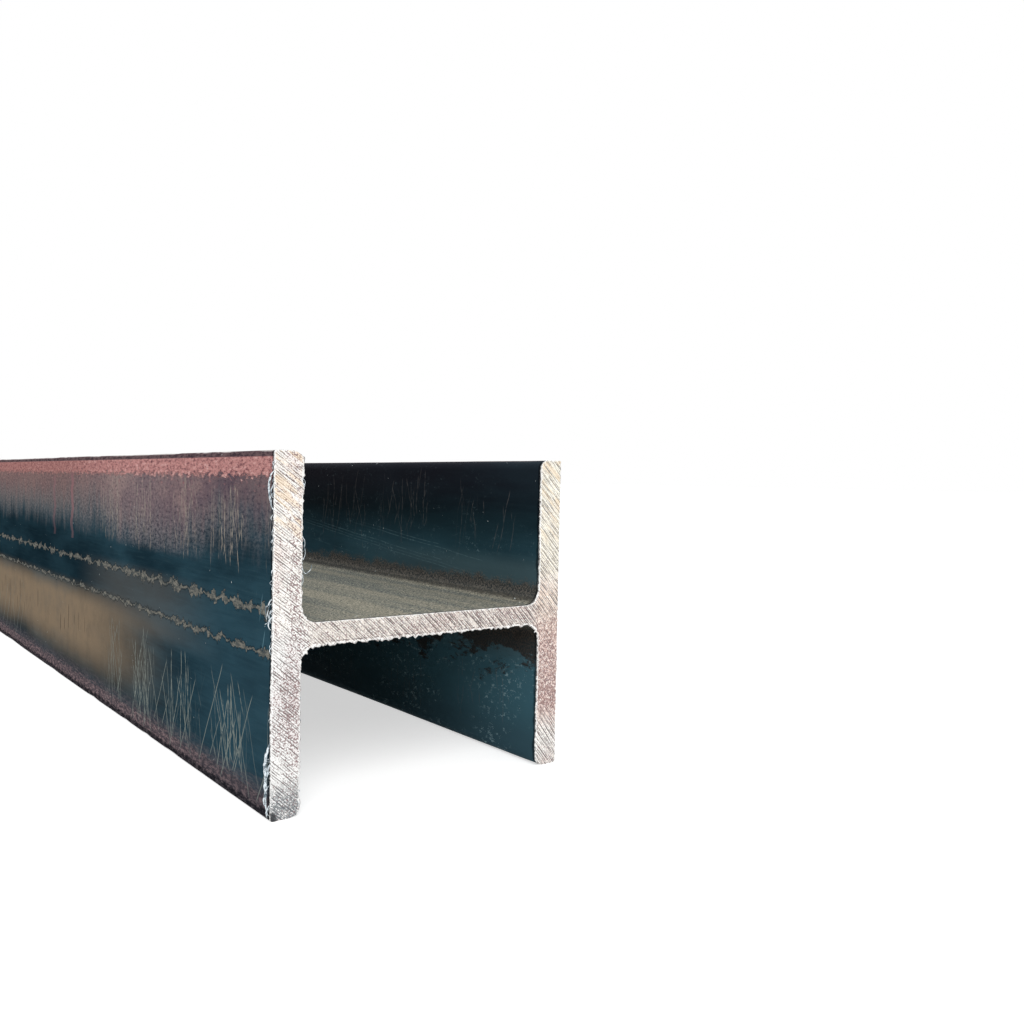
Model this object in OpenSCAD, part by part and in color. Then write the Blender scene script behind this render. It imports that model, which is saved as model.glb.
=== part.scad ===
// Hot-rolled wide-flange steel H-beam: one straight stock length, sawn square at both ends.
// It lies on the tips of its two upright flanges, with the web level between them.
// X runs across the section, Y along the beam and Z up the flanges.
// The origin is on the floor, under the middle of the beam.

/* [Beam] */
// Stock length, from sawn end to sawn end
beam_length = 6000; // [1000:100:12000]
// Depth of the section, over the outsides of both flanges
section_depth = 100; // [80:1:260]
// Width of each flange, from tip to tip
flange_width = 100; // [80:1:260]

/* [Thicknesses] */
// Thickness of each flange
flange_t = 8; // [6:0.1:14]
// Thickness of the web
web_t = 6; // [4:0.1:12]

/* [Rolled corners] */
// Radius of the fillet where the web meets a flange
root_r = 5; // [2:0.5:12]
// Radius of the rounded inside corner of each flange tip
toe_r = 3; // [1:0.25:4]
// Radius of the nearly sharp outside corner of each flange tip
outer_r = 0.6; // [0.3:0.1:1.5]

/* [Hidden] */

// Blue-grey mill scale, as the rolling mill leaves it
mill_scale_colour = [0.20, 0.28, 0.33];
// Overlap that keeps a cutting shape clear of the face it cuts through
cut_over = 1;

// Distance from the beam's axis to the outside of a flange
half_depth = section_depth / 2;
// Distance from the beam's axis to the tip of a flange
half_width = flange_width / 2;
// Distance from the beam's axis to the inside of a flange
flange_inside = half_depth - flange_t;
// Distance from the beam's axis to either face of the web
web_face = web_t / 2;

$fn = 64;

// Draws its child in the +X +Y quarter of the section and in the three mirrored quarters.
module four_quarters() {
    for (side = [0, 1], half = [0, 1])
        mirror([side, 0]) mirror([0, half]) children();
}

// Waste outside a convex corner of radius r, whose sharp point is at the child frame's origin
// and whose metal lies towards -X and -Y.
module corner_waste(r) {
    difference() {
        translate([-r, -r]) square(r + cut_over);
        translate([-r, -r]) circle(r);
    }
}

// One quarter of the section: half the web, half a flange and the fillet between them.
module quarter_section() {
    difference() {
        union() {
            square([half_depth, web_face]);
            translate([flange_inside, 0]) square([flange_t, half_width]);
            translate([flange_inside - root_r, 0]) square([root_r, web_face + root_r]);
        }
        // Root fillet between web and flange
        translate([flange_inside - root_r, web_face + root_r]) circle(root_r);
        // Outside corner of the flange tip
        translate([half_depth, half_width]) corner_waste(outer_r);
        // Rounded inside corner of the flange tip
        translate([flange_inside, half_width]) mirror([1, 0]) corner_waste(toe_r);
    }
}

// The whole H section, centred on the beam's axis.
module h_section() {
    four_quarters() quarter_section();
}

// The beam: the section carried along the stock length and laid on its flange tips.
module h_beam() {
    color(mill_scale_colour)
        translate([0, 0, half_width])
            rotate([90, 0, 0])
                linear_extrude(height = beam_length, center = true)
                    h_section();
}

h_beam();
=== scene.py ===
"""Looks of a hot-rolled steel H-beam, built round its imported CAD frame.

Lengths are in metres, and in millimetres inside the materials.
"""
import math

import bpy
import numpy as np
from mathutils import Matrix, Vector
from mathutils.geometry import delaunay_2d_cdt


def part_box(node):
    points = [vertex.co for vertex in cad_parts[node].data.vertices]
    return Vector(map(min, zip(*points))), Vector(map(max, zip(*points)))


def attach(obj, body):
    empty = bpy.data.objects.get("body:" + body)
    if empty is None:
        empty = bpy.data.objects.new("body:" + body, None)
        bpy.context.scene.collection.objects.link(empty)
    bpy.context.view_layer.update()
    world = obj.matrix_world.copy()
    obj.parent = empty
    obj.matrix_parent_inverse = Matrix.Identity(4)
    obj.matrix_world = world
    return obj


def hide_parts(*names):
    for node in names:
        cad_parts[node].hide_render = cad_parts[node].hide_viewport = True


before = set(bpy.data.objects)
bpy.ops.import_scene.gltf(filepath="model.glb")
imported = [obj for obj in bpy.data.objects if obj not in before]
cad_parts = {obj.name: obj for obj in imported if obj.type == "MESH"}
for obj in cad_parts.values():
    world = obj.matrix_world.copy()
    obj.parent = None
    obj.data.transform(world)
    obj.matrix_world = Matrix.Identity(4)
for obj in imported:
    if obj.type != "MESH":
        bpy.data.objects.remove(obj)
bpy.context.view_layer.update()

MM = 0.001

# ---- sizes of the beam

LOW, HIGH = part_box("h_beam")
DEPTH = HIGH.x - LOW.x
WIDTH = HIGH.z - LOW.z
FRONT, BACK = LOW.y, HIGH.y
AXIS_Z = (LOW.z + HIGH.z) / 2
FLANGE_T = 8 * MM
WEB_T = 6 * MM
ROOT_R = 5 * MM
TOE_R = 3 * MM
OUTER_R = 0.6 * MM
HALF_D, HALF_W, HALF_WEB = DEPTH / 2, WIDTH / 2, WEB_T / 2
INSIDE = HALF_D - FLANGE_T  # from the axis to the inside of a flange
ROOT_X, ROOT_Z = INSIDE - ROOT_R, HALF_WEB + ROOT_R  # centre of a root fillet
TOE_X, TOE_Z = INSIDE + TOE_R, HALF_W - TOE_R  # centre of a tip's inside corner

# The saw's teeth run on arcs round a centre, given from the beam's axis, and leave the beam downwards
SAW_CENTRE = (-319 * MM, -327 * MM)
SAW_PITCH = 0.62 * MM
SAW_LEAVES = math.radians(-42)
ARC_RADIUS = 450 * MM  # about how far the cut is from that centre
CUT_DEPTH = 0.9 * MM  # how far the sawn skin reaches in from the end
LIP_PROFILE = (0.12, 1), (0.38, 0.9), (0.62, 0.45), (CUT_DEPTH / MM, 0)  # depth, and share of the burr

# ---- the bake's map

MAP_NAME = "OFBake"
# Sheets of the rolled skin's map, the first drawn large: how far from the front each ends, then its left,
# right, bottom and top
SKIN_SHEETS = (
    (400 * MM, 0.002, 0.395, 0.002, 0.998),
    (3200 * MM, 0.405, 0.998, 0.505, 0.998),
    (BACK - FRONT, 0.405, 0.998, 0.002, 0.495),
)
END_MAP = 102.4 * MM  # what the map of the sawn ends measures across
END_SHARE = END_MAP / 2  # the height of the map that one end has
WEB_ROW, RIGHT_ROW, LIP_ROWS = 21 * MM, 32 * MM, 43 * MM  # heights of rows in that share
LIP_FOLDS = 6  # rows that the lip's length is folded into
LIP_ROW, LIP_TALL = 1.3 * MM, 1 * MM  # from one row to the next, and how much of it is used
BURR_CELLS = 10  # cells across the map of the loose burrs

# ---- looks and light

SLANT = 0.57  # how far a slanting scratch leans for each step up
UPPER, LOWER, INNER = 0, 1, 2  # the rolled skin's materials
SCALE_SPLIT = 14.3 * MM  # height over the axis where the outsides go from LOWER to UPPER
INNER_SHINE = 0.01  # specular level between the flanges; the outsides have none
FLOOR_REACH = 120  # how far the floor goes to each side
FLOOR_GAP = 0.02 * MM  # how far it lies under the beam
FLOOR_COLOUR = (0.72, 0.72, 0.72, 1)
FLOOR_GLOW = 0.6  # what the floor adds for the camera, so that shadows on it stay pale
SKY_LIGHT = 0.62  # strength of the soft light from all round

# ---- noise for shapes

TABLE_SIZE = 4096
TABLE = np.random.default_rng(7).random(TABLE_SIZE)
S_STRIDE, T_STRIDE, SEED_STRIDE = 73, 911, 131  # how far one step of each moves in the table


def ease(part):
    return part * part * (3 - 2 * part)


def noise_1d(t, seed=0):
    """Smooth noise from 0 to 1 along t."""
    cell = np.floor(t).astype(int)
    low, high = (TABLE[(cell + step + seed * SEED_STRIDE) % TABLE_SIZE] for step in (0, 1))
    return low + (high - low) * ease(t - cell)


def noise_2d(s, t, seed=0):
    """Smooth noise from 0 to 1 over the plane."""
    i, j = np.floor(s).astype(int), np.floor(t).astype(int)
    a, b = ease(s - i), ease(t - j)

    def at(m, n):
        return TABLE[(m * S_STRIDE + n * T_STRIDE + seed * SEED_STRIDE) % TABLE_SIZE]

    near = at(i, j) + (at(i + 1, j) - at(i, j)) * a
    far = at(i, j + 1) + (at(i + 1, j + 1) - at(i, j + 1)) * a
    return near + (far - near) * b


# ---- the section's outline


def line(start, end, step):
    """Points from start to end, about step apart."""
    count = max(1, round(math.dist(start, end) / step))
    return np.linspace(start, end, count + 1)


def arc(centre, radius, start, end, step):
    """Points on an arc between two angles in degrees, about step apart."""
    start, end = math.radians(start), math.radians(end)
    count = max(3, round(abs(end - start) * radius / step))
    angles = np.linspace(start, end, count + 1)
    return centre + radius * np.stack([np.cos(angles), np.sin(angles)], 1)


def outline(flat_step, round_step):
    """The H's outline as (x, z) points about the axis, clockwise as seen from the front."""
    quarter = np.concatenate([
        line((0, HALF_WEB), (ROOT_X, HALF_WEB), flat_step),
        arc((ROOT_X, ROOT_Z), ROOT_R, -90, 0, round_step),
        line((INSIDE, ROOT_Z), (INSIDE, TOE_Z), flat_step),
        arc((TOE_X, TOE_Z), TOE_R, 180, 90, round_step),
        line((TOE_X, HALF_W), (HALF_D - OUTER_R, HALF_W), flat_step),
        arc((HALF_D - OUTER_R, HALF_W - OUTER_R), OUTER_R, 90, 0, round_step / 2),
        line((HALF_D, HALF_W - OUTER_R), (HALF_D, 0), flat_step),
    ])
    down, over = np.array([1, -1]), np.array([-1, 1])
    loop = np.concatenate([quarter, quarter[::-1] * down, -quarter, quarter[::-1] * over])
    gap = np.linalg.norm(loop - np.roll(loop, 1, axis=0), axis=1)
    return loop[gap > 1e-7]


def unit(vectors):
    return vectors / np.linalg.norm(vectors, axis=1)[:, None]


def outward(loop):
    """Unit normals of a clockwise loop of points."""
    along = unit(np.roll(loop, -1, axis=0) - np.roll(loop, 1, axis=0))
    return along[:, ::-1] * (-1, 1)


def travelled(loop):
    """Distance along a closed loop to each point, and all the way round."""
    gaps = np.linalg.norm(np.roll(loop, -1, axis=0) - loop, axis=1)
    return np.concatenate([[0], np.cumsum(gaps)])


def in_section(x, z, inset):
    """True for points inside the H by more than inset."""
    ax, az = np.abs(x), np.abs(z)
    flange = (ax > INSIDE + inset) & (ax < HALF_D - inset) & (az < HALF_W - inset)
    core = (az < HALF_WEB - inset) & (ax < INSIDE + 2 * inset)
    corner = (ax > ROOT_X) & (az < ROOT_Z) & (ax < INSIDE + 2 * inset)
    corner &= np.hypot(ax - ROOT_X, az - ROOT_Z) > ROOT_R + inset
    toe = (ax < TOE_X) & (az > TOE_Z)
    toe &= np.hypot(ax - TOE_X, az - TOE_Z) > TOE_R - inset
    return (flange & ~toe) | core | corner


# ---- meshes


def add_object(name, data):
    item = bpy.data.objects.new(name, data)
    bpy.context.scene.collection.objects.link(item)
    return item


class Shape:
    """Points and faces of a piece, with each face's material and place on the map."""

    def __init__(self):
        self.points, self.faces, self.slots, self.places = [], [], [], []
        self.count = 0

    def put(self, points):
        """Adds points, and returns the number of the first."""
        first = self.count
        self.points.append(points)
        self.count += len(points)
        return first

    def cover(self, first, faces, places, slot=0, flip=False):
        """Adds faces over points counted from first. places has one place on the map for each corner."""
        turn = -1 if flip else 1
        for face, corners in zip(faces, places):
            self.faces.append([first + v for v in face[::turn]])
            self.places.extend(corners[::turn])
        self.slots += [slot] * len(faces)

    def join(self, first, count, across, around, flip=False):
        """Joins rings of count points. On the map a ring lies at its across, and its points at around."""
        j = np.arange(count)
        after = (j + 1) % count
        quads = np.stack([j, after, count + after, count + j], 1).tolist()
        start, end = around[:-1], around[1:]
        for i in range(len(across) - 1):
            low, high = np.full(count, across[i]), np.full(count, across[i + 1])
            places = np.stack([low, start, low, end, high, end, high, start], 1).reshape(-1, 4, 2)
            self.cover(first + i * count, quads, places.tolist(), flip=flip)

    def make(self, name):
        """The finished piece."""
        mesh = bpy.data.meshes.new(name)
        mesh.from_pydata(np.concatenate(self.points).tolist(), [], self.faces)
        mesh.polygons.foreach_set("material_index", self.slots)
        mesh.polygons.foreach_set("use_smooth", [True] * len(self.faces))
        layer = mesh.uv_layers.new(name=MAP_NAME)
        layer.uv.foreach_set("vector", np.array(self.places, dtype=np.float32).ravel())
        mesh.validate()
        mesh.update()
        return add_object(name, mesh)


# ---- the rolled skin


def stations():
    """Where along the beam the skin has a ring: close at the ends, wide in the middle."""
    half = (BACK - FRONT) / 2
    reach = [CUT_DEPTH]
    step, growth, longest = 0.9 * MM, 1.045, 110 * MM
    while reach[-1] + step < half:
        reach.append(reach[-1] + step)
        step = min(step * growth, longest)
    reach = np.array(reach)
    return np.concatenate([FRONT + reach, (BACK - reach)[::-1]])


def skin_ring(loop, normal, along, y):
    """A ring of the skin, with the mill's slight waves and knocks on the outside corners."""
    from_end = min(y - FRONT, BACK - y)
    share = min(1, max(0, (from_end - CUT_DEPTH) / (6 * MM)))
    level = np.full(len(loop), y)
    wave = (noise_2d(along / (24 * MM), level / (90 * MM), 3) - 0.5) * 0.22 * MM
    wave += (noise_2d(along / (5 * MM), level / (9 * MM), 5) - 0.5) * 0.06 * MM
    near = 1.2 * MM
    corner = (np.abs(loop) > (HALF_D - near, HALF_W - near)).all(1)
    bite = np.clip(noise_1d(y / (7 * MM), 11) - 0.62, 0, 1) * 0.9 * MM
    x, z = (loop + normal * ((wave - corner * bite) * share)[:, None]).T
    return np.stack([x, level, np.maximum(z + AXIS_Z, LOW.z)], 1)


def rolled_skin():
    """The rolled faces, carried from end to end."""
    loop = outline(1.6 * MM, 0.8 * MM)
    normal, along = outward(loop), travelled(loop)
    places = stations()
    count = len(loop)
    shape = Shape()
    for y in places:
        shape.put(skin_ring(loop, normal, along[:-1], y))
    began = 0
    for reach, left, right, bottom, top in SKIN_SHEETS:
        ended = min(len(places) - 1, int(np.searchsorted(places - FRONT, reach)))
        across = left + (right - left) * (places - places[began]) / (places[ended] - places[began])
        around = bottom + (top - bottom) * along / along[-1]
        shape.join(began * count, count, across[began:ended + 1], around)
        began = ended
    # Hidden caps close the skin behind the sawn ends. Their places are between the sheets
    ring = [list(range(count))]
    cap = [(loop * (0.03, 4) + (0.4, 0.5)).tolist()]
    shape.cover(0, ring, cap, flip=True)
    shape.cover((len(places) - 1) * count, ring, cap)
    return shape.make("rolled_skin")


# ---- the sawn ends


def saw_relief(x, z, seed):
    """Height of the saw's marks at a point of the end."""
    arc_radius = np.hypot(x - SAW_CENTRE[0], z - SAW_CENTRE[1])
    sweep = np.arctan2(z - SAW_CENTRE[1], x - SAW_CENTRE[0]) * ARC_RADIUS
    drift = (noise_2d(arc_radius / (6 * MM), sweep / (14 * MM), seed) - 0.5) * 0.35 * MM
    across = arc_radius + drift
    fine = noise_2d(across / (SAW_PITCH / 2), sweep / (9 * MM), seed + 1) - 0.5
    coarse = noise_2d(across / (1.9 * MM), sweep / (30 * MM), seed + 2) - 0.5
    band = noise_1d(across / (7 * MM), seed + 3) - 0.5
    grit = noise_2d(x / (0.35 * MM), z / (0.35 * MM), seed + 4) - 0.5
    return (fine * 0.1 + coarse * 0.07 + band * 0.08 + grit * 0.035) * MM


def beads(along, total, gap, seed):
    """A row of beads from 0 to 1 along a loop, with about gap from one to the next."""
    rng = np.random.default_rng(seed)
    height = np.zeros(len(along))
    place = 0
    while place < total:
        reach = gap * rng.uniform(0.35, 0.65)
        tall = rng.uniform(0.25, 1) ** 1.5
        away = np.abs((along - place + total / 2) % total - total / 2) / reach
        height = np.maximum(height, tall * np.sqrt(np.clip(1 - away * away, 0, 1)))
        place += gap * rng.uniform(0.6, 1.4)
    return height


def burr_height(loop, normal, along, total, seed, mirror):
    """How far the torn lip stands out of each point of the outline."""
    cut = np.array([math.cos(SAW_LEAVES) * mirror, math.sin(SAW_LEAVES)])
    (x, z), (sideways, upwards) = loop.T, normal.T
    leaving = np.clip(normal @ cut, 0, 1)
    under_web = (upwards < -0.5) & (np.abs(x) < INSIDE)
    inner_side = (np.abs(sideways) > 0.7) & (np.abs(x) < HALF_D - FLANGE_T / 2)
    near_side = (sideways * mirror < -0.7) & (x * mirror < -HALF_D + FLANGE_T / 2)
    fine = beads(along, total, 1.3 * MM, seed)
    sparse = beads(along, total, 4.5 * MM, seed + 1) * noise_1d(along / (9 * MM), seed)
    tiny = beads(along, total, 0.9 * MM, seed + 5)
    torn = noise_1d(along / (0.5 * MM), seed + 2)
    height = 0.04 + 0.08 * torn
    height += leaving * (0.12 * fine + 0.25 * sparse)
    height += under_web * (0.05 + 0.85 * fine)
    height += inner_side * (0.36 * fine + 0.55 * sparse)
    # Where the saw went in, the lip is rolled over low down and beaded all along
    rolled = np.exp(-(((z + 21 * MM) / (14 * MM)) ** 2))
    height += near_side * (0.2 * tiny + 0.34 * rolled)
    on_floor = z < -HALF_W + 0.5 * MM
    return np.where(on_floor, 0, height) * MM


def sawn_surface(loop):
    """Points and triangles over the section, in rows along the saw's marks, and which points are loop's."""
    count = len(loop)
    step = np.array(Vector(SAW_CENTRE).normalized())
    row = step[::-1] * (-1, 1)
    reach = DEPTH * 0.75
    gap, row_gap, offset, inset = 0.55 * MM, 0.17 * MM, 0.27 * MM, 0.28 * MM
    s, t = np.meshgrid(np.arange(-reach, reach, gap), np.arange(-reach, reach, row_gap))
    s += (np.arange(len(t)) % 2)[:, None] * offset
    inner = s.reshape(-1, 1) * row + t.reshape(-1, 1) * step
    inner = inner[in_section(*inner.T, inset)]
    edges = [(j, (j + 1) % count) for j in range(count)]
    found, _, triangles, origin, _, _ = delaunay_2d_cdt(
        [Vector(p) for p in (*loop, *inner)], edges, [], 1, 1e-8)
    rim = np.zeros(count, dtype=int)
    for k, sources in enumerate(origin):
        if sources and sources[0] < count:
            rim[sources[0]] = k
    return np.array(found), np.array(triangles), rim


def surface_places(flat, triangles, base):
    """Map places of a sawn face: flanges and web each have a row, counted up from base."""
    x, z = np.moveaxis(flat[triangles], 2, 0)
    middle = x.mean(1)[:, None]
    on_left, on_right = middle < -INSIDE, middle > INSIDE
    across = np.where(on_left | on_right, z, x) + END_SHARE
    up = np.where(on_right, x - INSIDE + RIGHT_ROW, z + WEB_ROW)
    up = np.where(on_left, x + HALF_D + MM, up) + base
    return (np.stack([across, up], 2) / END_MAP).tolist()


def lip_places(along, k, base):
    """Map places of the k-th ring of quads of a lip."""
    layers = len(LIP_PROFILE)
    row = along[-1] / LIP_FOLDS
    fold = np.floor(along[:-1] / row)
    start, end = along[:-1] - fold * row, along[1:] - fold * row
    low = base + LIP_ROWS + fold * LIP_ROW + k / layers * LIP_TALL
    high = low + LIP_TALL / layers
    corners = np.stack([start, low, end, low, end, high, start, high], 1)
    return (corners / END_MAP + 0.004).reshape(-1, 4, 2).tolist()


def lip_rings(loop, normal, burr, place, facing):
    """Rings of a lip, which turns over the edge and runs a little way back along the skin."""
    for depth, share in LIP_PROFILE:
        x, z = (loop + normal * (burr * share)[:, None]).T
        yield np.stack([x, np.full(len(loop), place - facing * depth * MM), z], 1)


def add_sawn_end(shape, place, facing, seed, base):
    """Adds a sawn end with its torn lip. facing is -1 at the front and 1 at the back."""
    loop = outline(0.45 * MM, 0.4 * MM)
    normal, along = outward(loop), travelled(loop)
    count = len(loop)
    burr = burr_height(loop, normal, along[:-1], along[-1], seed, -facing)
    flat, triangles, rim = sawn_surface(loop)
    places = surface_places(flat, triangles, base)
    flat[rim] += normal * (burr * 0.6)[:, None]
    x, z = flat.T
    face = np.stack([x, place + facing * saw_relief(x, z, seed + 20), z], 1)
    points = np.concatenate([face, *lip_rings(loop, normal, burr, place, facing)])
    points[:, 2] = np.maximum(points[:, 2] + AXIS_Z, LOW.z)
    first = shape.put(points)
    flip = facing > 0
    shape.cover(first, triangles.tolist(), places, flip=flip)
    previous = rim
    for k in range(len(LIP_PROFILE)):
        here = len(flat) + k * count + np.arange(count)
        quads = np.stack([previous, np.roll(previous, -1), np.roll(here, -1), here], 1)
        shape.cover(first, quads.tolist(), lip_places(along, k, base), 1, flip)
        previous = here
    # A hidden cap closes the piece at the back, and has a speck of the map
    cap = (np.array([0.5, (base + 31 * MM) / END_MAP]) + loop * 0.1).tolist()
    shape.cover(first, [previous.tolist()], [cap], 1, flip)


def sawn_ends():
    """Both sawn ends."""
    shape = Shape()
    add_sawn_end(shape, FRONT, -1, 21, 0)
    add_sawn_end(shape, BACK, 1, 47, END_SHARE)
    return shape.make("sawn_ends")


# ---- loose burrs

# Torn foil at the edges of a cut. Each has its side of the left flange (-1 outside, 1 inside), its width and
# thickness, and four points of a curve: out from the face, in from the end, and height, all in millimetres.
FOILS = (
    (-1, 0.9, 0.12, (0, 0.2, 94.5), (1.9, 0.5, 93.6), (1.7, 0.9, 87), (0.1, 0.5, 84)),
    (-1, 0.5, 0.1, (0.2, 0.3, 91), (0.9, 0.6, 90), (1, 0.8, 88.5), (0.3, 0.5, 87.2)),
    (-1, 0.5, 0.08, (0, 0.2, 60), (0.7, 1.8, 60.2), (1.1, 3.2, 57), (0.6, 2.8, 54.4)),
    (-1, 0.3, 0.08, (0, 0.2, 59), (0.7, 1.2, 58.8), (1.1, 2, 56.6), (0.4, 1.4, 54.4)),
    (-1, 0.3, 0.08, (0, 0.2, 57.5), (0.9, 0.8, 57.2), (1.1, 1.2, 55.4), (0.2, 0.7, 53.6)),
    (-1, 0.6, 0.12, (0, 0.1, 55.5), (1.2, 0.6, 54.8), (1, 2, 53), (0.2, 1, 51.8)),
    (-1, 0.2, 0.08, (0.1, 0.4, 54.6), (1.2, 1.2, 54.3), (1.4, 2.4, 53.2), (0.9, 3.2, 52.4)),
    (-1, 1.3, 0.14, (0.1, 0.4, 22), (1.2, 0.9, 19), (1.8, 1.2, 14), (1, 0.7, 9)),
    (-1, 1, 0.14, (0.1, 0.3, 16), (1.6, 0.8, 13), (1.4, 1.4, 8), (0.9, 0.8, 3.4)),
    (-1, 0.7, 0.12, (0.6, 0.2, 10), (1.9, 0.9, 8.6), (1.8, 1.5, 4.6), (0.3, 0.8, 1.6)),
    (-1, 0.5, 0.12, (0.3, 0.9, 17), (1, 2.2, 16.4), (1.1, 2.6, 14.8), (0.3, 1.8, 13.6)),
    (-1, 0.4, 0.12, (0.3, 0.2, 4.6), (1.3, 0.2, 3.9), (1.5, 0.8, 2), (0.4, 1.2, 1)),
    (1, 0.2, 0.12, (0, 0, 77), (0.9, -0.3, 76), (1.3, -0.2, 72.5), (0.5, 0.1, 70.4)),
    (1, 0.16, 0.12, (0.1, 0, 68.6), (0.6, -0.5, 66), (2.2, -0.6, 66.2), (2.9, -0.2, 69)),
    (1, 0.3, 0.12, (0, 0, 66.5), (0.9, -0.2, 66), (0.8, 0, 64.2), (0.1, 0.1, 63.6)),
    (1, 0.3, 0.12, (0, 0, 92.5), (0.9, 0.1, 92.2), (0.9, 0.2, 90.8), (0.1, 0.1, 90.2)),
)
WHISKERS = 34
STRAND_POINTS = 26
# A strand's section: across its width, and out of its flat, as shares of half
STRAND_SECTION = ((-1, 0), (-0.6, 1), (0, 1.5), (0.6, 1), (1, 0), (0.6, -1), (0, -0.4), (-0.6, -1))


def whiskers(seed):
    """Small curls of metal at chance heights, in the form of FOILS."""
    rng = np.random.default_rng(seed)
    for k in range(WHISKERS):
        side = -1 if k % 3 else 1
        height = rng.uniform(2, 98) if side < 0 else rng.choice((rng.uniform(60, 95), rng.uniform(4, 40)))
        out, down, inward = rng.uniform(0.25, 0.8), rng.uniform(0.5, 1.8), rng.uniform(0.1, 1.2)
        width = rng.uniform(0.12, 0.3)
        yield (side, width, 0.12, (0, 0.1, height), (out, 0.1, height - 0.1),
               (out, inward, height - down), (0.1, inward, height - down * 1.2))


def strand_rings(seed, width, thick, *corners):
    """Rings of a wavy strip along a curve with four control points, tapered at its ends."""
    t = np.linspace(0, 1, STRAND_POINTS)[:, None]
    a, b, c, d = (np.array(corner, dtype=float) for corner in corners)
    path = a * (1 - t) ** 3 + 3 * b * t * (1 - t) ** 2 + 3 * c * t * t * (1 - t) + d * t ** 3
    reach = np.linalg.norm(d - a)
    wobble = np.stack([noise_1d(t[:, 0] * reach / 0.9, seed + k) - 0.5 for k in range(3)], 1)
    path = path + wobble * 0.5 * np.sin(np.pi * t)
    ahead = unit(np.gradient(path, axis=0))
    level = np.array([0.25, 1, 0])
    across = unit(level - ahead * (ahead @ level)[:, None])
    flat = np.cross(ahead, across)
    ragged = 0.75 + 0.5 * noise_1d(t[:, 0] * reach / 0.5, seed + 9)[:, None]
    taper = (0.35 + 0.65 * np.sin(np.pi * t)) * ragged
    return [path + across * side * width / 2 * taper + flat * face * thick / 2
            for side, face in STRAND_SECTION]


def strand_places(cell):
    """Where a strand's rings, the points round them and its two caps lie in a cell of the map."""
    left, bottom = cell % BURR_CELLS / BURR_CELLS, cell // BURR_CELLS / BURR_CELLS
    size = 1 / BURR_CELLS
    sides = len(STRAND_SECTION)
    along = left + size * np.linspace(0.08, 0.84, STRAND_POINTS)
    around = bottom + size * np.linspace(0.08, 0.92, sides + 1)
    turn = np.linspace(0, 2 * np.pi, sides, endpoint=False)
    disc = np.stack([np.cos(turn), np.sin(turn)], 1) * size * 0.04
    caps = [(disc + (left + size * 0.93, bottom + size * up)).tolist() for up in (0.3, 0.7)]
    return along, around, caps


def add_strand(shape, side, rings, place, facing, cell):
    """Adds a strand on a side of one end."""
    out, inward, height = np.stack(rings, 1).reshape(-1, 3).T
    edge = -HALF_D if side < 0 else -INSIDE
    x = (edge + side * out * MM) * -facing
    z = np.maximum(LOW.z, LOW.z + height * MM)
    first = shape.put(np.stack([x, place - facing * inward * MM, z], 1))
    along, around, caps = strand_places(cell)
    sides = len(STRAND_SECTION)
    ring, flip = [list(range(sides))], side > 0
    shape.join(first, sides, along, around, flip)
    shape.cover(first, ring, caps[:1], flip=not flip)
    shape.cover(first + (STRAND_POINTS - 1) * sides, ring, caps[1:], flip=flip)


def loose_burrs():
    """Foil and whiskers of torn steel on one flange of each end."""
    shape = Shape()
    cell = 0
    for place, facing, seed in ((FRONT, -1, 61), (BACK, 1, 83)):
        for k, (side, *form) in enumerate((*FOILS, *whiskers(seed))):
            add_strand(shape, side, strand_rings(seed + 17 * k, *form), place, facing, cell)
            cell += 1
    return shape.make("loose_burrs")


# ---- building materials


def by_node(operation):
    """A method of Value that leaves the work to a Math node."""
    def method(self, *others):
        return self.g.math(operation, self, *others)
    return method


class Value:
    """The output of a node. Where it is a number, it takes the usual arithmetic."""

    def __init__(self, g, socket):
        self.g, self.socket = g, socket

    __add__ = by_node("ADD")
    __sub__ = by_node("SUBTRACT")
    __mul__ = by_node("MULTIPLY")
    __truediv__ = by_node("DIVIDE")
    __mod__ = by_node("MODULO")
    __lt__ = by_node("LESS_THAN")
    __abs__ = by_node("ABSOLUTE")
    floor = by_node("FLOOR")
    sine = by_node("SINE")
    angle = by_node("ARCTAN2")
    low = by_node("MINIMUM")
    high = by_node("MAXIMUM")

    def __rsub__(self, other):
        return self.g.math("SUBTRACT", other, self)

    def step(self, low, high, out_low=0, out_high=1):
        """Smooth step of the value from low to high, which may run downwards."""
        if low > high:
            low, high, out_low, out_high = high, low, out_high, out_low
        node = self.g.add("MapRange")
        node.interpolation_type = "SMOOTHSTEP"
        node.clamp = False  # a smooth step keeps within its ends by itself
        return self.g.fed(node, (self, low, high, out_low, out_high))

    def band(self, low, high, soft):
        """1 between low and high, falling to 0 over soft outside them."""
        return self.step(low - soft, low) * self.step(high + soft, high)

    def shifted(self, noise, reach):
        """The value moved by up to half of reach either way, by a noise of 0 to 1."""
        return self + (noise - 0.5) * reach

    def ripple(self, scale, shift, detail, rough=0.5):
        """Noise along the value."""
        node = self.g.add("TexNoise")
        node.noise_dimensions = "1D"
        return self.g.textured(node, {"W": self * scale + shift}, detail, rough)

    def dice(self):
        """Four random numbers from 0 to 1 for each value."""
        thrown = self.g.add("TexWhiteNoise")
        thrown.noise_dimensions = "1D"
        colour = self.g.fed(thrown, {"W": self}, "Color")
        parts = self.g.add("SeparateColor")
        self.g.fed(parts, [colour])
        return [Value(self.g, part) for part in (thrown.outputs["Value"], *parts.outputs)]


def shade(colour):
    """A colour for a node: sRGB numbers of 0 to 255 become linear, and a Value stays as it is."""
    if isinstance(colour, Value):
        return colour
    parts = [v / 255 for v in colour]
    return [v / 12.92 if v <= 0.04045 else ((v + 0.055) / 1.055) ** 2.4 for v in parts] + [1]


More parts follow.
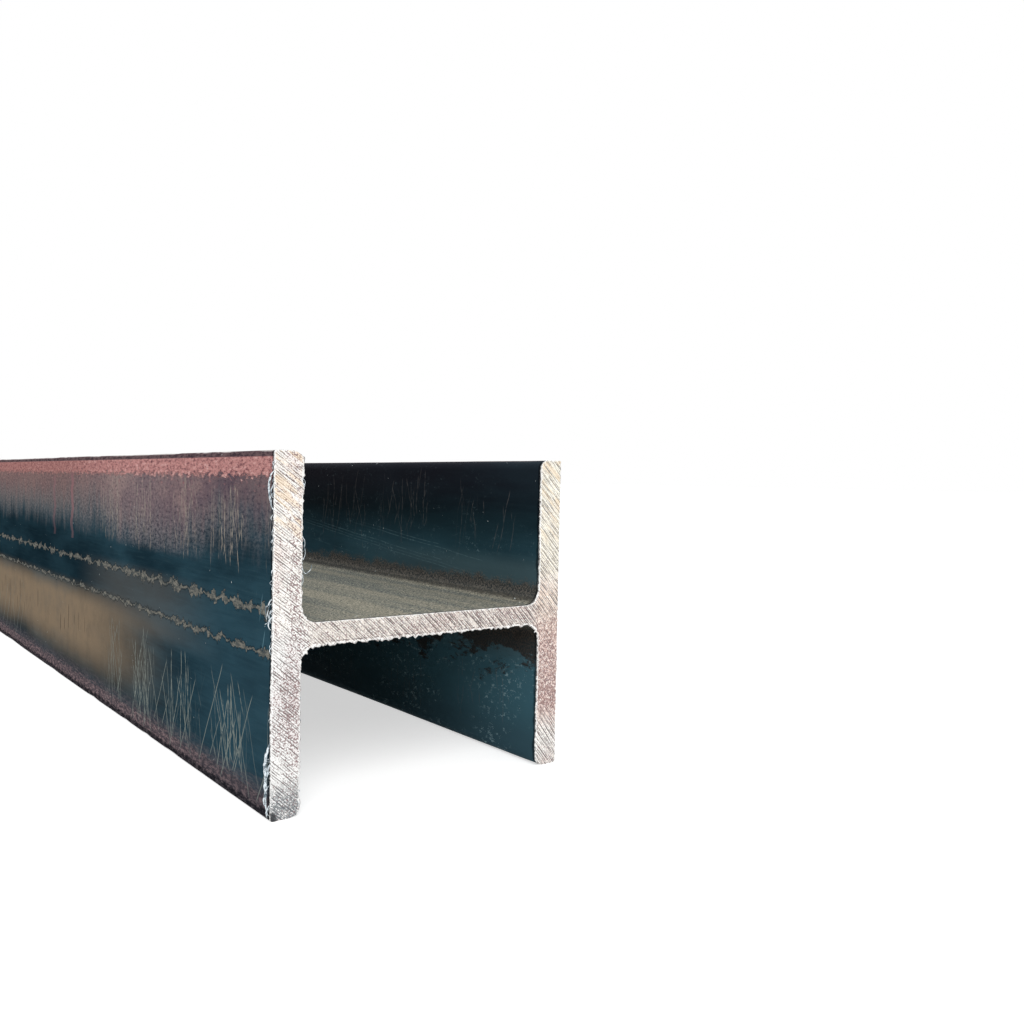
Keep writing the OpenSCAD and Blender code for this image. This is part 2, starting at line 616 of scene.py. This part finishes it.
def mix(share, a, b):
    """The colour a share of the way from a to b. Each is a Value or sRGB numbers of 0 to 255."""
    node = share.g.add("Mix")
    node.data_type = "RGBA"
    return share.g.fed(node, {0: share, 6: shade(a), 7: shade(b)}, 2)


def fade(share, a, b):
    """The number a share of the way from a to b."""
    node = share.g.add("Mix")
    node.data_type = "FLOAT"
    return share.g.fed(node, {0: share, 2: a, 3: b})


def length(*parts):
    """The length of a vector."""
    g = parts[0].g
    node = g.add("VectorMath")
    node.operation = "LENGTH"
    return g.fed(node, [g.node("CombineXYZ", parts)], "Value")


class Graph:
    """Builds the nodes of a material or a world, and hands out what they give as Values."""

    def __init__(self, holder, output):
        holder.use_nodes = True
        self.holder, self.tree = holder, holder.node_tree
        self.tree.nodes.clear()
        self.output = self.add(output)

    def add(self, kind):
        return self.tree.nodes.new("ShaderNode" + kind)

    def fed(self, node, inputs, output=0):
        """Feeds a node's inputs, in order or by name or number, and returns one of its outputs."""
        for name, value in inputs.items() if isinstance(inputs, dict) else enumerate(inputs):
            if isinstance(value, Value):
                self.tree.links.new(value.socket, node.inputs[name])
            else:
                node.inputs[name].default_value = value
        return Value(self, node.outputs[output])

    def node(self, kind, inputs=(), output=0):
        """One output of a new node that needs no settings."""
        return self.fed(self.add(kind), inputs, output)

    def math(self, operation, *numbers):
        node = self.add("Math")
        node.operation = operation
        return self.fed(node, numbers)

    def seen(self):
        """1 for camera, glossy and transmission rays, which show the background."""
        rays = self.add("LightPath").outputs
        camera, glossy, through = (Value(self, rays["Is " + kind + " Ray"])
                                   for kind in ("Camera", "Glossy", "Transmission"))
        return camera.high(glossy).high(through)

    def finish(self, shader):
        """Ends with a shader, and returns the material or the world."""
        self.tree.links.new(shader.socket, self.output.inputs["Surface"])
        return self.holder


class Steel(Graph):
    """A material of the beam, built up in coats. relief is its surface's height."""

    def __init__(self, name):
        super().__init__(bpy.data.materials.new(name), "OutputMaterial")
        self.coordinates = self.node("TexCoord", output="Object")
        self.colour = self.rough = self.relief = None

    def place(self):
        """Across, along from the front end, and height, in millimetres."""
        parts = self.add("SeparateXYZ")
        self.fed(parts, [self.coordinates])
        x, y, z = (Value(self, part) for part in parts.outputs)
        return x / MM, (y - FRONT) / MM, z / MM

    def textured(self, node, where, detail, rough):
        """A noise texture's value. detail is how much finer noise it has, and rough how strong that is."""
        return self.fed(node, {**where, "Scale": 1, "Detail": detail, "Roughness": rough})

    def noise(self, scale, shift=0, detail=2, rough=0.5):
        """Noise over the beam with scale features a millimetre, all ways or along x, y and z."""
        where = self.node("Mapping", {
            "Vector": self.coordinates, "Scale": [k / MM for k in np.broadcast_to(scale, 3)],
            "Location": (shift, shift * 0.37, shift * 0.71)})
        return self.textured(self.add("TexNoise"), {"Vector": where}, detail, rough)

    def grain(self, across, along, shift, detail, rough):
        """Noise over two values."""
        where = self.node("CombineXYZ", (across, along, shift))
        return self.textured(self.add("TexNoise"), {"Vector": where}, detail, rough)

    def start(self, colour, rough, relief):
        """The first coat, all over."""
        self.colour, self.rough, self.relief = colour, rough, relief

    def lay(self, mask, colour, rough=None, lift=None):
        """One more coat, where mask is 1."""
        self.colour = mix(mask, self.colour, colour)
        if rough is not None:
            self.rough = fade(mask, self.rough, rough)
        if lift is not None:
            self.relief += mask * lift

    def done(self, metallic, specular):
        """The finished material."""
        bump = self.node("Bump", {"Distance": 1, "Height": self.relief * MM})
        return self.finish(self.node("BsdfPrincipled", {
            "Base Color": self.colour, "Metallic": metallic, "Roughness": self.rough,
            "Specular IOR Level": specular, "Normal": bump}))


# ---- patterns


def strokes(across, height, pitch, width, bottom, top, share, bend, seed):
    """Scratches up a face, at most one a pitch, which end between the heights in bottom and in top."""
    across += across.g.noise((0.01, 0.03, 0.05), seed) * (pitch * bend)
    cell = (across / pitch).floor()
    shift, low, high, there = (cell + seed * 17.3).dice()
    centre = (cell + fade(shift, 0.3, 0.7)) * pitch
    mark = abs(across - centre).step(width, width * 0.45)
    mark *= (height - fade(low, *bottom)).step(-1.2, 1.2)
    mark *= (fade(high, *top) - height).step(-1.2, 1.2)
    return mark * (there / share).step(1, 0.5)


def with_leaning(marks, along, height, leans, *form):
    """marks and leaning strokes of one form. leans has how far, the pitch and the seed of each set."""
    for lean, pitch, seed in leans:
        marks = marks.high(strokes(along - height * lean, height, pitch, *form, seed))
    return marks


def clusters(along, first, period, sure, share, seed):
    """1 where scratches gather: sure times from first on, a period apart, then at a share of those places."""
    turn = (along - (first - period / 2)) / period
    cell = turn.floor()
    away = abs(turn - cell - 0.5)
    near = away.shifted(along.ripple(0.14, seed, 3), 0.5).step(0.4, 0.2)
    chosen = (cell + seed).dice()[0] < share
    return near * chosen.high(cell < sure - 0.5)


def wandering_line(along, height, level, thin, thick, seed):
    """How far inside a ragged line near a level each point is."""
    swell = along.ripple(0.11, seed + 4, 2)
    half = fade(swell.step(0.42, 0.6), thin / 2, thick / 2)
    frayed = along.g.noise((0.3, 0.55, 0.9), seed, 4, 0.62)
    half *= along.step(220, 60, 0.7, 1)
    half *= frayed * 5 - 1.5
    middle = (along.ripple(0.13, seed, 5, 0.62) - 0.5) * 4.6 + level
    return half - abs(height - middle)


def from_outline(x, away):
    """Distance in from the H's outline. away is the height above or below the axis."""
    half_d, half_w, web, inside, root = (v / MM for v in (HALF_D, HALF_W, HALF_WEB, INSIDE, ROOT_R))
    beside = abs(x)
    edge = (half_d - beside).low(half_w - away)
    edge = edge.low((beside - inside).high(web + root - away))
    edge = edge.low((web - away).high(beside - (inside - root)))
    hollow = length(beside - (inside - root), away - (web + root))
    return edge.low(hollow - root)


# ---- rolled steel


def bare_scale(name):
    """A new material of blue-grey scale in soft clouds, streaked along the rolling, and its places."""
    skin = Steel(name)
    place = skin.place()
    clouds = skin.noise((0.05, 0.012, 0.05), 0, 4, 0.6)
    tone = mix(clouds.step(0.35, 0.68), (27, 49, 60), (48, 78, 91))
    rolled = skin.noise((1.1, 0.05, 1.1), 3, 4, 0.6)
    tone = mix(rolled.step(0.5, 0.75) * 0.22, tone, (66, 90, 98))
    tone = mix(rolled.step(0.5, 0.25) * 0.25, tone, (12, 24, 34))
    grain = skin.noise(2.2, 5, 3, 0.65)
    tone = mix(grain.step(0.55, 0.85) * 0.3, tone, (96, 110, 112))
    skin.start(tone, fade(rolled.step(0.3, 0.7), 0.44, 0.56), rolled * 0.03 + grain * 0.02)
    return skin, place


def lay_last(skin, y):
    """Bright nicks, and a painted shadow: a dark line beside the torn lip of each end."""
    skin.lay(skin.noise((1, 0.7, 1), 33, 1).step(0.79, 0.81), (214, 222, 222))
    from_end = y.low((BACK - FRONT) / MM - y)
    # Painted shadow: a dark line on the skin beside the torn lip of each end
    skin.lay(from_end.shifted(skin.noise(0.3, 34), 1.6).step(2.3, 1.4) * 0.75, (14, 18, 24))


def lay_purple_rust(skin, y, z, tide, speck, far):
    """A grey haze, and purple-brown rust on it, darker at the very end and paler in the middle distance."""
    below = z.step(65, 69)
    tone = mix(speck.step(0.4, 0.6), (62, 66, 76), (130, 128, 132))
    tone = mix(far * 0.35, tone, (128, 122, 116))
    skin.lay(tide.step(66, 82) * below * y.step(10, 110, 0.5, 0.95), tone, 0.6)
    drift = skin.noise((0.1, 0.02, 0.05), 12, 3, 0.6)
    tone = mix(drift.step(0.4, 0.62), (118, 98, 106), (156, 132, 130))
    tone = mix(y.step(70, 110) * 0.3, tone, (158, 144, 142))
    tone = mix(far * 0.7, tone, (134, 106, 102))
    tone = mix(speck.step(0.48, 0.38) * 0.7, tone, (60, 50, 64))
    tone = mix(speck.step(0.56, 0.66) * 0.7, tone, (196, 158, 158))
    tone = mix(y.step(75, 15, 0, 0.5), tone, (72, 62, 76))
    skin.lay(tide.step(76, 92) * below * 0.9, tone, 0.66, speck * 0.06)


def lay_red_band(skin, x, z, fleck, speck, far):
    """A band of red flakes under the tip, a darker grey-purple strip above it, and a painted highlight along
    the top corner.
    """
    band = z.shifted(fleck, 13).step(92.4, 93.8) * z.step(98.6, 98.2)
    tone = mix(fleck.step(0.36, 0.5), (112, 76, 82), (208, 150, 146))
    tone = mix(fleck.step(0.54, 0.62), tone, (234, 190, 184))
    tone = mix(speck.step(0.48, 0.4) * 0.75, tone, (104, 62, 70))
    tone = mix(far * 0.4, tone, (136, 92, 86))
    skin.lay(band * 0.95, tone, 0.8, fleck * 0.16)
    dark_edge_strip = z.shifted(fleck, 0.8).step(98.2, 98.6)
    skin.lay(dark_edge_strip * 0.9, mix(fleck.step(0.4, 0.6), (58, 48, 56), (112, 96, 98)), 0.6)
    # Painted highlight: a thin pale line along the top outer corner, broken here and there
    worn = z.step(99.55, 99.75) * abs(x).step(49, 49.4)
    worn *= skin.noise((0.1, 0.05, 0.1), 13, 4, 0.7).step(0.42, 0.56)
    skin.lay(worn * 0.75, (206, 200, 198))


def lay_runs(skin, y, z, creep):
    """A few runs of rust below the red band, none near the end."""
    wobbly = y.shifted(z.ripple(0.16, 3, 3), 5)
    often = y.step(270, 260, 0.4, 1)
    run = strokes(wobbly, z, 39, 2.7, (53, 62), (91, 94), often, 0.05, 31)
    run *= (z + creep * 44).step(82, 108, 0.22, 0.75)
    skin.lay(run * y.step(192, 198), (150, 112, 116), 0.75)


def lay_upper_scratches(skin, y, z):
    """Pale scratches in clusters, which lean a little to either side."""
    marks = strokes(y, z, 2.2, 0.28, (65.5, 78), (82, 95), 0.7, 1.2, 1)
    leans = (0.12, 2.9, 2), (-0.14, 3.3, 3), (0.34, 6, 41), (-0.3, 9, 42)
    marks = with_leaning(marks, y, z, leans, 0.28, (65.5, 78), (80, 95), 0.7, 1)
    marks *= skin.noise((0.3, 0.8, 0.5), 2).step(0.36, 0.62, 0.1, 1)
    skin.lay(marks * clusters(y, 31, 41, 4, 0.4, 2) * 0.8, (174, 164, 152), 0.66)


def outer_upper_scale():
    """Upper part of the outsides: rust, red flakes in a band, runs, and fine scratches."""
    skin, (x, y, z) = bare_scale("outer_upper_scale")
    fleck = skin.noise((0.1, 0.26, 0.8), 9, 6, 0.8)
    creep = skin.noise((0.1, 0.16, 0.04), 11, 5, 0.7)
    speck = skin.noise((0.8, 0.45, 1), 14, 6, 0.8)
    tide = z.shifted(creep, 26) + y.band(80, 130, 45) * 6.5
    far = y.step(120, 240)
    skin.lay(z.step(78, 66) * far * 0.5, (10, 24, 32))
    lay_purple_rust(skin, y, z, tide, speck, far)
    skin.lay(z.shifted(fleck, 60).step(93, 101) * 0.6, (176, 122, 122), 0.75)
    lay_red_band(skin, x, z, fleck, speck, far)
    lay_runs(skin, y, z, creep)
    lay_upper_scratches(skin, y, z)
    lay_last(skin, y)
    return skin.done(0, 0)


def lay_film_and_sheen(skin, y, z, patch):
    """A brownish film that comes and goes, its warm glow partly painted sheen, and a greyer one between the
    lifted lines.
    """
    # Painted sheen: the film's warm brown stands partly for a glow of light at a grazing view
    film = (patch - y.step(280, 600, 0, 0.09)).step(0.24, 0.44) * y.step(65, 200)
    film *= z.step(4, 24) * z.step(48, 36)
    skin.lay(z.band(40, 55, 6) * y.band(100, 140, 70) * 0.42, (110, 108, 104))
    cloudy = skin.noise((0.1, 0.09, 0.09), 8, 5, 0.65)
    skin.lay(film * cloudy.step(0.3, 0.6, 0.8, 0.96), (148, 130, 108))


def lay_low_rust(skin, y, z, fleck):
    """Rust along the bottom tip, and a dark strip along the bottom edge."""
    drawn_out = skin.noise((0.1, 0.1, 1.5), 10, 4, 0.7)
    stain = z.shifted(drawn_out, 10).step(12, 5)
    skin.lay(stain * 0.75, mix(fleck.step(0.42, 0.62), (78, 74, 82), (124, 116, 118)), 0.66)
    band = z.shifted(drawn_out, 9).step(6.8, 5)
    tone = mix(fleck.step(0.46, 0.6), (86, 78, 84), (162, 138, 140))
    tone = mix(y.step(90, 20, 0, 0.45), tone, (58, 56, 64))
    skin.lay(band * 0.8, tone, 0.78, fleck * 0.16)
    dark_edge_strip = z.shifted(fleck, 3).step(3, 1.8)
    skin.lay(dark_edge_strip * 0.85, mix(fleck.step(0.45, 0.65), (24, 26, 32), (84, 82, 88)))


def lay_lifted_lines(skin, y, z, fleck):
    """Two lines of lifted scale, each with a dark outline."""
    inside = wandering_line(y, z, 56.6, 0.7, 3.4, 3).high(wandering_line(y, z, 44.8, 0.55, 2.2, 9))
    skin.lay(inside.step(-0.7, -0.1) * 0.6, (12, 22, 30))
    tone = mix(fleck.step(0.4, 0.62), (82, 88, 88), (148, 144, 134))
    skin.lay(inside.step(-0.16, 0.16) * 0.92, tone, 0.7, -0.1)


def lay_lower_scratches(skin, y, z):
    """Pale scratches in clusters, and long slanting ones. A stretch of the film has none."""
    marks = strokes(y, z, 2.4, 0.33, (3, 12), (20, 38), 0.8, 1.2, 4)
    leans = (0.2, 3.6, 14), (SLANT, 5, 5), (-0.4, 7, 6)
    marks = with_leaning(marks, y, z, leans, 0.31, (2, 12), (18, 38), 0.75, 0.9)
    marks *= skin.noise((0.3, 0.8, 0.5), 2).step(0.3, 0.58, 0.2, 1)
    marks *= clusters(y, 31, 41, 4, 0.3, 7)
    for lean, pitch, seed in ((0.45, 11, 51), (-SLANT, 9, 52)):
        crossing = strokes(y - z * lean, z, pitch, 0.3, (2, 9), (16, 38), 0.7, 0.3, seed)
        marks = marks.high(crossing * 0.8)
    marks *= y.step(165, 140).high(y.step(300, 330))
    skin.lay(marks * 0.95, (146, 154, 148), 0.66)


def lay_ticks(skin, y, z, patch):
    """Short dark ticks on the film, and bluish scuffs at the very end."""
    ticks = strokes(y, z, 3.6, 0.45, (19, 29), (24, 36), 0.75, 0.9, 8)
    ticks *= y.step(180, 200) * patch.step(0.3, 0.5)
    skin.lay(ticks * 0.8, (48, 46, 48))
    scuffs = strokes(y + z * 0.25, z, 1.3, 0.24, (46, 61), (49, 63), 0.5, 1, 44)
    skin.lay(scuffs * y.step(14, 3, 0, 0.8), (118, 158, 172))


def outer_lower_scale():
    """Lower part of the outsides: lines of lifted scale, brown film with painted sheen, scratches, and rust.
    """
    skin, (_, y, z) = bare_scale("outer_lower_scale")
    fleck = skin.noise((0.1, 0.34, 0.95), 9, 6, 0.78)
    patch = skin.noise((0.1, 0.006, 0.02), 7)
    skin.lay(y.step(110, 20) * z.step(62, 48) * 0.25, (62, 96, 112))
    skin.lay(z.step(42, 47) * y.step(120, 240) * 0.5, (10, 24, 32))
    lay_film_and_sheen(skin, y, z, patch)
    lay_low_rust(skin, y, z, fleck)
    lay_lifted_lines(skin, y, z, fleck)
    lay_lower_scratches(skin, y, z)
    lay_ticks(skin, y, z, patch)
    lay_last(skin, y)
    return skin.done(0, 0)


def lay_painted_light_and_shade(skin, y, z, from_web):
    """Bluer low down, and dark and brownish towards the upper tips, more so further in. The brighter blue
    below the web and by the roots near the front is painted light, and the near black towards the upper tips
    is painted shade.
    """
    cloud = skin.noise((0.03, 0.012, 0.05), 22, 4, 0.6)
    skin.lay(cloud.step(0.3, 0.62) * 0.5, (56, 94, 106))
    # Painted light: a brighter blue below the web, strongest near the front end
    skin.lay(z.step(50, 46) * y.step(0, 170, 0.72, 0.55), (76, 118, 132))
    # Painted shade: near black towards the upper tips, deeper further in
    dark = z.step(61, 83) * y.step(10, 150, 0.72, 1)
    skin.lay(dark * 0.9, (8, 9, 12))
    # Painted light: a paler blue by the roots near the front end
    skin.lay(from_web.band(6, 13, 7) * y.step(150, 30, 0, 0.6), (84, 106, 112))
    skin.lay(from_web.step(28, 46) * 0.35, (40, 32, 42))


def lay_faint_scratches(skin, y, from_web):
    """Bundles of scratches from the tips, and long sloping ones by the roots."""
    grainy = skin.noise(0.4, 27, 3, 0.6).step(0.34, 0.6, 0.1, 1)
    hanging = strokes(y, from_web, 2.4, 0.27, (12, 34), (26, 48), 0.7, 2.5, 8)
    leans = (-0.3, 3.1, 18), (0.25, 4.1, 28)
    hanging = with_leaning(hanging, y, from_web, leans, 0.27, (14, 34), (26, 48), 0.7, 2.5)
    hanging *= grainy
    hanging *= clusters(y, 30, 52, 3, 0.4, 12)
    skin.lay(hanging * 0.32, (124, 120, 118), 0.6)
    folded = y % 300
    sloping = strokes(from_web - folded * 0.1, folded, 1.1, 0.2, (10, 150), (60, 280), 0.6, 1.4, 9)
    sloping *= grainy * from_web.band(10, 20, 6)
    skin.lay(sloping * 0.4, (110, 140, 148), 0.6)


def lay_dust(skin, z, from_web):
    """Pale dust, thickest below the web."""
    dust = skin.noise((0.75, 0.4, 0.75), 29, 5, 0.8) + z.step(50, 46, 0, 0.018)
    dust = dust.step(0.585, 0.635)
    dust *= skin.noise((0.05, 0.03, 0.07), 30, 3).step(0.42, 0.56)
    dust *= from_web.step(10, 18)
    skin.lay(dust * z.step(50, 80, 0.9, 0.08), (150, 180, 188))


def lay_root_rust(skin, z, from_web, speck, patch):
    """Grainy brown rust over the roots, and flaky patches of it under the web."""
    ragged = (speck - 0.5) * 6 + (patch - 0.5) * 12
    rusted = (from_web - ragged).step(11, 7.5)
    tone = mix(speck.step(0.42, 0.62), (52, 50, 50), (120, 112, 102))
    skin.lay(rusted * z.step(47, 50, 0.5, 0.85), tone, 0.72, speck * 0.06)
    flaky = skin.noise((0.1, 0.07, 0.17), 28, 8, 0.76) + (from_web - 8) * -0.014
    under = flaky.step(0.34, 0.42) * z.step(47, 46)
    tone = mix(speck.step(0.4, 0.64), (38, 35, 33), (78, 64, 54))
    skin.lay(under * 0.85, tone, 0.8, patch * 0.2)


def lay_web(skin, x, z, from_web, speck, patch):
    """The web: greenish grey-brown, sandy and streaked, with a dark line at each root."""
    web = abs(x).step(43, 38) * from_web.step(7, 3.4)
    streak = skin.noise((0.1, 0.004, 0.3), 25, 3, 0.6)
    tone = mix(streak.step(0.38, 0.64), (102, 110, 108), (148, 146, 132))
    sand = skin.noise((1.8, 1.2, 1.8), 26, 3, 0.8)
    tone = mix(sand.step(0.52, 0.61) * 0.8, tone, (196, 188, 168))
    tone = mix(sand.step(0.48, 0.39) * 0.85, tone, (56, 58, 56))
    skin.lay(web * 0.92, tone, 0.6)
    foot = from_web.shifted(patch, 2).band(4.2, 4.8, 0.6)
    skin.lay(foot * z.step(50, 52) * speck.step(0.4, 0.6, 0.2, 0.6), (34, 30, 30))


def inner_scale():
    """Insides of the flanges, and the web: darker scale with painted light and shade, and brown rust in the
    roots.
    """
    skin, (x, y, z) = bare_scale("inner_scale")
    from_web = abs(z - AXIS_Z / MM)
    speck = skin.noise(1.5, 23, 4, 0.72)
    patch = skin.noise((0.07, 0.09, 0.11), 21, 7, 0.72)
    lay_painted_light_and_shade(skin, y, z, from_web)
    lay_faint_scratches(skin, y, from_web)
    lay_dust(skin, z, from_web)
    lay_root_rust(skin, z, from_web, speck, patch)
    lay_web(skin, x, z, from_web, speck, patch)
    lay_last(skin, y)
    return skin.done(0, INNER_SHINE)


# ---- sawn steel


def saw_grooves(cut, x, radius, sweep):
    """The wave of the saw's marks, and the grooves it leaves, which fade in and out."""
    turn = radius * (2 * math.pi * MM / SAW_PITCH) + cut.grain(radius * 0.35, sweep * 0.04, 1, 2, 0.5) * 14
    wave = turn.sine()
    # Every second groove is deeper, most of all on the right
    deep = (turn * 0.5).sine()
    worn = (cut.grain(radius * 1.3, sweep * 0.16, 4, 3, 0.6) - 0.5) * 5
    groove = (wave + worn).step(0.3, 1.3)
    return wave, groove.high((deep + worn).step(0.2, 1.2) * x.step(-45, 0, 0.25, 1))


def cut_tone(x, z, cloud, cream, right):
    """Bright steel: duller on the web, cream, tan and rosy down the right, bluish low on the left."""
    tone = mix(cloud.step(0.44, 0.66), (252, 249, 243), (238, 224, 218))
    tone = mix(abs(x).step(43, 36) * 0.7, tone, (224, 214, 204))
    tone = mix(cream * 0.6, tone, (255, 250, 228))
    tone = mix(right * z.band(44, 56, 7) * 0.55, tone, (232, 204, 180))
    tone = mix(right * z.band(22, 40, 13) * 0.85, tone, (224, 190, 178))
    bluish = x.step(-38, -42) * z.step(56, 44)
    return mix(bluish * 0.35, tone, (232, 238, 242))


def start_sawn(cut, x, z, radius, sweep, cloud, grit):
    """Bright steel with the saw's grooves darkened as painted shade, painted white glints between them, and
    dark grains.
    """
    wave, groove = saw_grooves(cut, x, radius, sweep)
    cream = x.step(36, 42) * z.step(56, 66)
    right = x.step(38, 43)
    tone = cut_tone(x, z, cloud, cream, right)
    rightward = x.step(-44, 30)
    # Painted shade: the saw's grooves darkened, more deeply to the right
    painted_groove_shade = mix(rightward, (98, 90, 88), (80, 68, 64))
    groove *= fade(right * z.band(20, 46, 8), 1, 0.45)
    tone = mix(groove * fade(cream, 0.9, 0.7), tone, painted_groove_shade)
    # Painted highlights: white glints between the grooves
    glint = wave.shifted(grit, 6).step(-0.6, -1.6)
    tone = mix(glint * 0.9, tone, (255, 255, 255))
    dark_grain = (cut.noise(3.4, 7, 2, 0.7) + rightward * 0.02).step(0.58, 0.66)
    tone = mix(dark_grain * 0.65, tone, (88, 76, 74))
    cut.start(tone, 0.5, grit * 0.06 - groove * 0.05)


def lay_stains(cut, x, z, grit, streaks):
    """An orange stain near the top, and a smeared blue-grey patch at the lower tip."""
    stained = streaks.step(0.48, 0.6) * z.step(66, 84)
    cut.lay(stained * x.step(20, 0, 0.4, 0.5), (238, 208, 168))
    smear = z.step(13, 4) * grit.step(0.38, 0.54)
    cut.lay(smear * x.step(20, 0, 0.1, 0.85), (96, 104, 110), 0.35)


def rust_specks(cut, x, z, cloud, rusty):
    """Specks of rust, thickest low down and on the inner side of the left flange."""
    heavy = cloud.step(0.35, 0.65) * 0.036 + x.band(-44, 36, 5) * 0.034
    heavy += z.band(22, 36, 9) * 0.046
    heavy += x.band(-44.6, -42, 1.6) * (z.band(50, 72, 8) * 0.05)
    heavy += rusty * 0.03
    heavy -= x.step(38, 44) * z.step(48, 62, 0, 0.08)
    return (cut.noise(1.9, 5, 3, 0.6) + heavy).step(0.6, 0.635)


def lay_first_rust(cut, specks, rusty, grit):
    """Mottled rust on the right flange, and purple-brown specks."""
    mottle = cut.noise(1.2, 6, 4, 0.8)
    cut.lay(rusty * mottle.step(0.47, 0.41) * 0.75, (248, 238, 230))
    cut.lay(rusty * mottle.step(0.51, 0.57) * 0.75, (122, 92, 90), 0.75)
    cut.lay(specks * 0.85, mix(grit, (96, 70, 76), (172, 140, 138)), 0.75)


def lay_rim(cut, x, z, grit):
    """A painted shadow as a seam over the web's lip, a painted highlight as a bright broken rim, and a dark
    lower corner.
    """
    edge = from_outline(x, abs(z - AXIS_Z / MM))
    patchy = cut.noise(0.8, 8)
    lipped = z.step(50, 49) * abs(x).step(43, 40)
    seam = edge.band(0.42, 0.6, 0.14) * patchy.step(0.48, 0.6)
    cut.lay(seam * (lipped * 0.75), (92, 78, 78))
    # Painted highlight: a bright broken rim along the outline
    rim = edge.shifted(grit, 1.5).step(0.32, 0.08)
    cut.lay(rim * patchy.step(0.42, 0.58, 0.2, 0.9), (252, 252, 250), 0.4)
    corner = length(x + HALF_D / MM, z * 0.7)
    cut.lay(corner.shifted(grit, 1.6).step(2, 1.5, 0, 0.9), (34, 38, 44), 0.6)


def sawn_steel():
    """A sawn end: saw marks with painted shade and glints, stains, first rust, and a bright broken rim of
    painted highlight.
    """
    cut = Steel("sawn_steel")
    x, _, z = cut.place()
    # From the saw's centre, and along its arc
    dx, dz = x - SAW_CENTRE[0] / MM, z - (SAW_CENTRE[1] + AXIS_Z) / MM
    radius, sweep = length(dx, dz), dz.angle(dx) * (ARC_RADIUS / MM)
    cloud = cut.noise(0.06, 1, 3, 0.6)
    grit = cut.noise(2.4, 1, 3, 0.7)
    start_sawn(cut, x, z, radius, sweep, cloud, grit)
    lay_stains(cut, x, z, grit, cut.grain(radius * 0.5, sweep * 0.07, 9, 3, 0.6))
    rusty = x.step(38, 42) * z.band(20, 46, 8)
    specks = rust_specks(cut, x, z, cloud, rusty)
    lay_first_rust(cut, specks, rusty, grit)
    lay_rim(cut, x, z, grit)
    return cut.done(fade(specks, 0.5, 0.2), 0.5)


def torn_steel(name, scale, seed, dark, pale):
    """Bright torn steel of the burrs, with darker folds."""
    torn = Steel(name)
    fold = torn.noise(scale, seed, 3, 0.65)
    torn.start(mix(fold.step(0.4, 0.56), dark, pale), fade(fold, 0.5, 0.28), fold * 0.08)
    return torn.done(0.4, 0.5)


# ---- the stage


def make_floor():
    """A pale floor that keeps the beam's shadow and is white where lit."""
    reach, level = FLOOR_REACH, LOW.z - FLOOR_GAP
    corners = (-reach, -reach, level), (reach, -reach, level), (reach, reach, level), (-reach, reach, level)
    mesh = bpy.data.meshes.new("studio_floor")
    mesh.from_pydata(corners, [], [(0, 1, 2, 3)])
    g = Graph(bpy.data.materials.new("studio_floor"), "OutputMaterial")
    matt = g.node("BsdfDiffuse", {"Color": FLOOR_COLOUR})
    glow = g.node("Emission", {"Strength": g.seen() * FLOOR_GLOW})
    mesh.materials.append(g.finish(g.node("AddShader", (matt, glow))))
    add_object("studio_floor", mesh)


def make_world():
    """White behind the beam and in reflections, and an even soft light for the rest."""
    g = Graph(bpy.data.worlds.new("studio"), "OutputWorld")
    level = g.node("MapRange", {"Value": g.seen(), "To Min": SKY_LIGHT, "To Max": 1})
    bpy.context.scene.world = g.finish(g.node("Background", {"Color": (1, 1, 1, 1), "Strength": level}))


def add_sun(name, towards, strength, spread):
    """A soft distant lamp that shines from towards, a direction in the beam's frame."""
    data = bpy.data.lights.new(name, "SUN")
    data.energy = strength
    data.angle = math.radians(spread)
    add_object(name, data).rotation_euler = Vector(towards).to_track_quat("Z", "Y").to_euler()


def make_camera():
    """The photo's view: close to the front end, left of it and just under the tip's height."""
    data = bpy.data.cameras.new("camera")
    data.sensor_width, data.lens = 36, 33.7
    data.clip_start, data.clip_end = 0.01, 500
    spot = Vector((LOW.x - 106.6 * MM, FRONT - 239.9 * MM, LOW.z + 92.5 * MM))
    view = Matrix.Translation(spot)
    # To the right, down from level, and a slight tilt of the picture
    for degrees, axis in ((-37.88, "Z"), (90 - 1.74, "X"), (1.16, "Z")):
        view @= Matrix.Rotation(math.radians(degrees), 4, axis)
    camera = add_object("camera", data)
    camera.matrix_world = view
    bpy.context.scene.camera = camera


# ---- the whole

skin = rolled_skin()
ends = sawn_ends()
burrs = loose_burrs()

for material in (outer_upper_scale(), outer_lower_scale(), inner_scale()):
    skin.data.materials.append(material)
for face in skin.data.polygons:
    height = face.center.z - AXIS_Z
    outside = abs(face.center.x) > HALF_D - 0.5 * FLANGE_T or abs(height) > HALF_W - 0.2 * MM
    outer = UPPER if height > SCALE_SPLIT else LOWER
    face.material_index = outer if outside else INNER
ends.data.materials.append(sawn_steel())
ends.data.materials.append(torn_steel("torn_lip", 1.2, 41, (96, 88, 86), (240, 240, 238)))
burrs.data.materials.append(torn_steel("torn_foil", (0.9, 0.9, 0.7), 43, (96, 112, 122), (236, 246, 252)))

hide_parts("h_beam")
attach(skin, "root")
for piece in (ends, burrs):
    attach(piece, "root")

make_floor()
make_world()
add_sun("key", (-0.25, -0.75, 0.75), 1.6, 40)
add_sun("fill", (0.6, 0.5, 0.8), 0.5, 60)
make_camera()

bpy.context.scene.view_settings.view_transform = "Standard"
